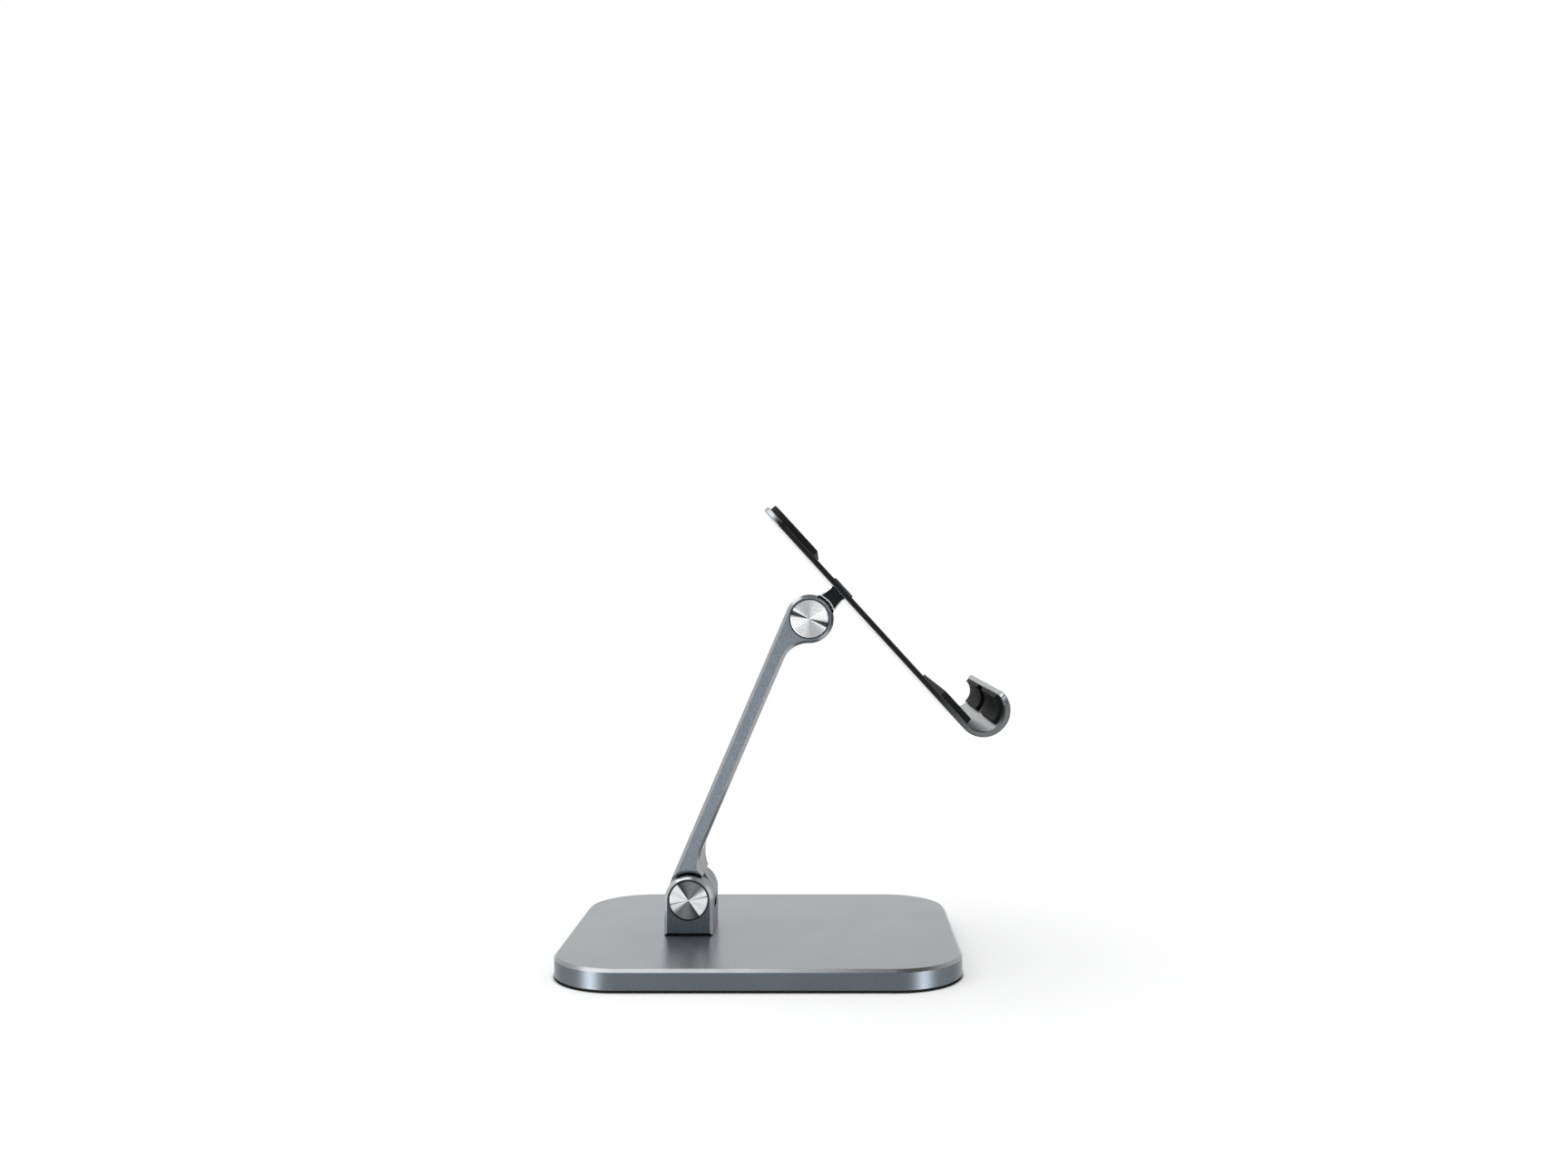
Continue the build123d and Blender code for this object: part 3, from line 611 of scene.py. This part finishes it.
# name, place, size and watts of the soft boxes, which face the middle of the stand
SOFT_BOXES = (
    ("left_box", (-0.90, -0.70, 0.35), (0.5, 0.8), 2.5),
    ("right_box", (0.90, -0.70, 0.35), (0.5, 0.8), 1.5),
    ("top_box", (-0.35, 0.05, 1.00), (1.0, 0.9), 5.0),
)

CAMERA_PLACE = (0.0257, -0.5754, 0.1488)
CAMERA_LENS = 31.35                    # mm
CAMERA_SENSOR = 36.0                   # mm
CAMERA_SHIFT = (-0.0255, 0.0046)       # of the picture's width
CAMERA_NEAR = 0.01


def leaving(graph):
    """X, Y and Z of the direction in which a ray leaves the object."""
    incoming = graph.node("NewGeometry").outputs["Incoming"]
    return graph.node("SeparateXYZ", {0: graph.scaled(incoming, -1.0)}).outputs


def studio_ring(graph, ray, levels):
    """Brightness of the studio all round, from the direction of a ray."""
    top = max(level for turn, level in levels)
    turn = graph.math("ARCTAN2", ray["X"], graph.math("MULTIPLY", ray["Y"], -1.0))
    share = graph.math("DIVIDE", graph.math("ABSOLUTE", turn), math.pi)
    ring = graph.colour_along(share, [(turn / HALF_TURN, grey(level / top)) for turn, level in levels])
    # in front a little brighter to the left than to the right
    front = graph.ramp(ray["Y"], *IN_FRONT, 1.0, 0.0)
    lean = graph.ramp(ray["X"], *LEFT_TO_RIGHT, *LEAN)
    gain = graph.math("MULTIPLY_ADD", front, lean, 1.0)
    return graph.scaled(ring, graph.math("MULTIPLY", gain, top))


def make_floor():
    """Pale table that fades into the backdrop; glossy surfaces see the studio mirrored in it."""
    made, graph = new_material("floor_pale")
    place = graph.node("NewGeometry").outputs["Position"]
    distance = graph.node("VectorMath", {0: place}, operation="LENGTH").outputs["Value"]
    tone = graph.mix(graph.noise(0.8, 3.0), grey(FLOOR_TONE * 0.985), grey(FLOOR_TONE))
    paint = graph.node("BsdfPrincipled", {"Base Color": tone, "Roughness": 0.75}).outputs[0]
    glow = graph.node("Emission", {"Color": BACKDROP, "Strength": 1.0}).outputs[0]
    lit = graph.mix_shaders(graph.ramp(distance, *FLOOR_FADE, FLOOR_GLOW, 1.0), paint, glow)
    # painted shadow: a narrow dark line where the foot meets the table
    contact_shadow = graph.ramp(graph.openness(CONTACT_REACH), *CONTACT_OPENNESS, 1.0, 0.0)
    dark = graph.node("BsdfDiffuse", {"Color": grey(0.01)}).outputs[0]
    seen = graph.mix_shaders(contact_shadow, lit, dark)
    level = studio_ring(graph, leaving(graph), TABLE_RING)
    mirrored = graph.node("Emission", {"Color": level, "Strength": 1.0}).outputs[0]
    mirror = graph.math("MULTIPLY", graph.node("LightPath").outputs["Is Glossy Ray"], FLOOR_MIRROR)
    above = graph.mix_shaders(mirror, seen, mirrored)
    # from below the table is clear, so that the underside can be seen
    backfacing = graph.node("NewGeometry").outputs["Backfacing"]
    clear = graph.node("BsdfTransparent").outputs[0]
    graph.node("OutputMaterial", {"Surface": graph.mix_shaders(backfacing, above, clear)})

    data = bpy.data.meshes.new("floor")
    corners = [(-1, -1), (1, -1), (1, 1), (-1, 1)]
    data.from_pydata([(x * FLOOR_REACH, y * FLOOR_REACH, 0) for x, y in corners], [], [(0, 1, 2, 3)])
    data.materials.append(made)
    floor = add_object("floor", data)
    floor.location.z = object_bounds()[0].z - FLOOR_GAP


def make_world():
    """White for the camera; for reflections a ring, a box overhead and less behind the camera."""
    world = bpy.data.worlds.new("studio")
    world.use_nodes = True
    bpy.context.scene.world = world
    graph = Graph(world.node_tree)
    ray = leaving(graph)
    level = studio_ring(graph, ray, STUDIO_RING)
    # overhead a wide box to the left, falling off to the right
    overhead = graph.ramp(ray["Z"], *OVERHEAD)
    sky = graph.ramp(ray["X"], *SKY_LEFT_TO_RIGHT, *SKY)
    sky_grey = graph.node("CombineColor", {0: sky, 1: sky, 2: sky}).outputs[0]
    level = graph.mix(overhead, level, sky_grey)
    # the room behind the camera is dimmer above the table's level
    behind = graph.ramp(ray["Y"], *BEHIND_CAMERA, 1.0, 0.0)
    behind = graph.math("MULTIPLY", behind, graph.ramp(ray["Z"], *ABOVE_TABLE))
    level = graph.scaled(level, graph.math("MULTIPLY_ADD", behind, -DIMMING, 1.0))
    rays = graph.node("LightPath").outputs
    level = graph.mix(rays["Is Glossy Ray"], ROOM, level)
    studio = graph.node("Background", {"Color": level, "Strength": 1.0}).outputs[0]
    plain = graph.node("Background", {"Color": BACKDROP, "Strength": 1.0}).outputs[0]
    seen = graph.mix_shaders(rays["Is Camera Ray"], studio, plain)
    graph.node("OutputWorld", {"Surface": seen})


def make_soft_box(name, place, size, power):
    """Rectangular area light that faces the middle of the stand."""
    low, high = CAD_BOUNDS
    data = bpy.data.lights.new(name, "AREA")
    data.shape = "RECTANGLE"
    data.size, data.size_y = size
    data.energy = power
    lamp = add_object(name, data)
    lamp.location = place
    towards = (low + high) / 2 - Vector(place)
    lamp.rotation_euler = towards.to_track_quat("-Z", "Y").to_euler()


def make_camera():
    """Level camera on the user's left, about as high as the upper hinge."""
    data = bpy.data.cameras.new("camera")
    data.lens = CAMERA_LENS
    data.sensor_width = CAMERA_SENSOR
    data.shift_x, data.shift_y = CAMERA_SHIFT
    data.clip_start = CAMERA_NEAR
    camera = add_object("camera", data)
    camera.location = CAMERA_PLACE
    camera.rotation_euler = (math.radians(90), 0, 0)
    bpy.context.scene.camera = camera


make_floor()
make_world()
for box in SOFT_BOXES:
    make_soft_box(*box)
make_camera()
bpy.context.scene.view_settings.view_transform = "Standard"
